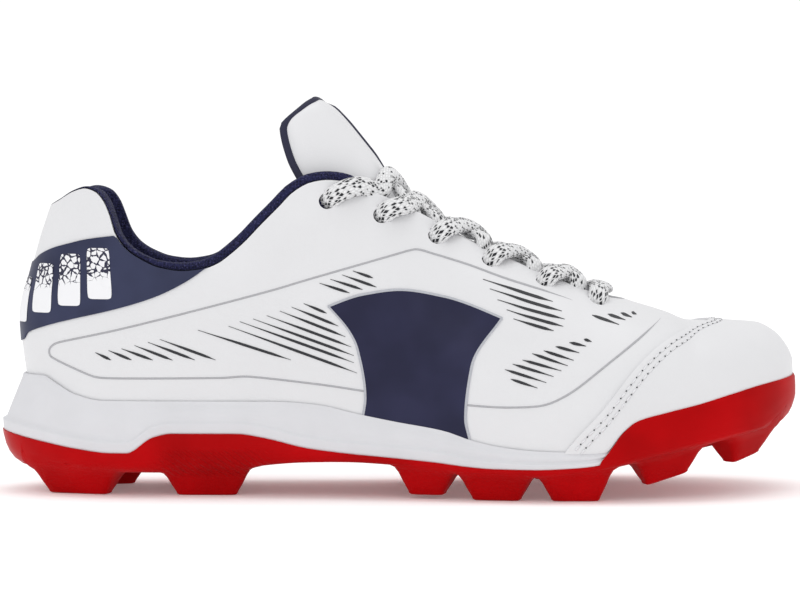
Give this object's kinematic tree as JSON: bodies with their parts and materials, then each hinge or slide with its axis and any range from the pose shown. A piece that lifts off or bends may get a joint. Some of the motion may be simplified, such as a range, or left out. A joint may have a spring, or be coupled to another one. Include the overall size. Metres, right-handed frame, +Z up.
{
  "type": "baseball cleat",
  "caption": "Low baseball cleat for the right foot, white upper with navy heel and collar, laced throat, white foam midsole and red moulded outsole with studs and toe bumper.",
  "frame": {"origin": "on the ground, under the centre of the bounding box of the shoe as it stands", "axes": "+X from heel to toe, +Y to the inner side of the foot, +Z up"},
  "size_m": [0.2462, 0.0868, 0.122],
  "materials": {
    "red_rubber": "satin moulded rubber",
    "white_foam": "smooth moulded foam",
    "insole_fabric": "brushed knit",
    "white_leather": "fine grained synthetic leather",
    "tongue_leather": "soft synthetic leather, padded",
    "navy_mesh": "padded mesh",
    "navy_film": "smooth welded film",
    "lace": "braided, flecked with black"
  },
  "bodies": {
    "root": {"outsole": "red_rubber", "midsole": "white_foam", "insole": "insole_fabric", "upper": "white_leather", "tongue": "tongue_leather", "collar_lining": "navy_mesh", "toe_guard": "white_leather", "heel_panel": "navy_film", "side_panel_outer": "navy_film", "side_panel_inner": "navy_film", "lace_bar": "lace", "lace_cross_1": "lace", "lace_cross_2": "lace", "lace_cross_3": "lace", "lace_cross_4": "lace", "lace_cross_5": "lace"}
  },
  "joints": []
}
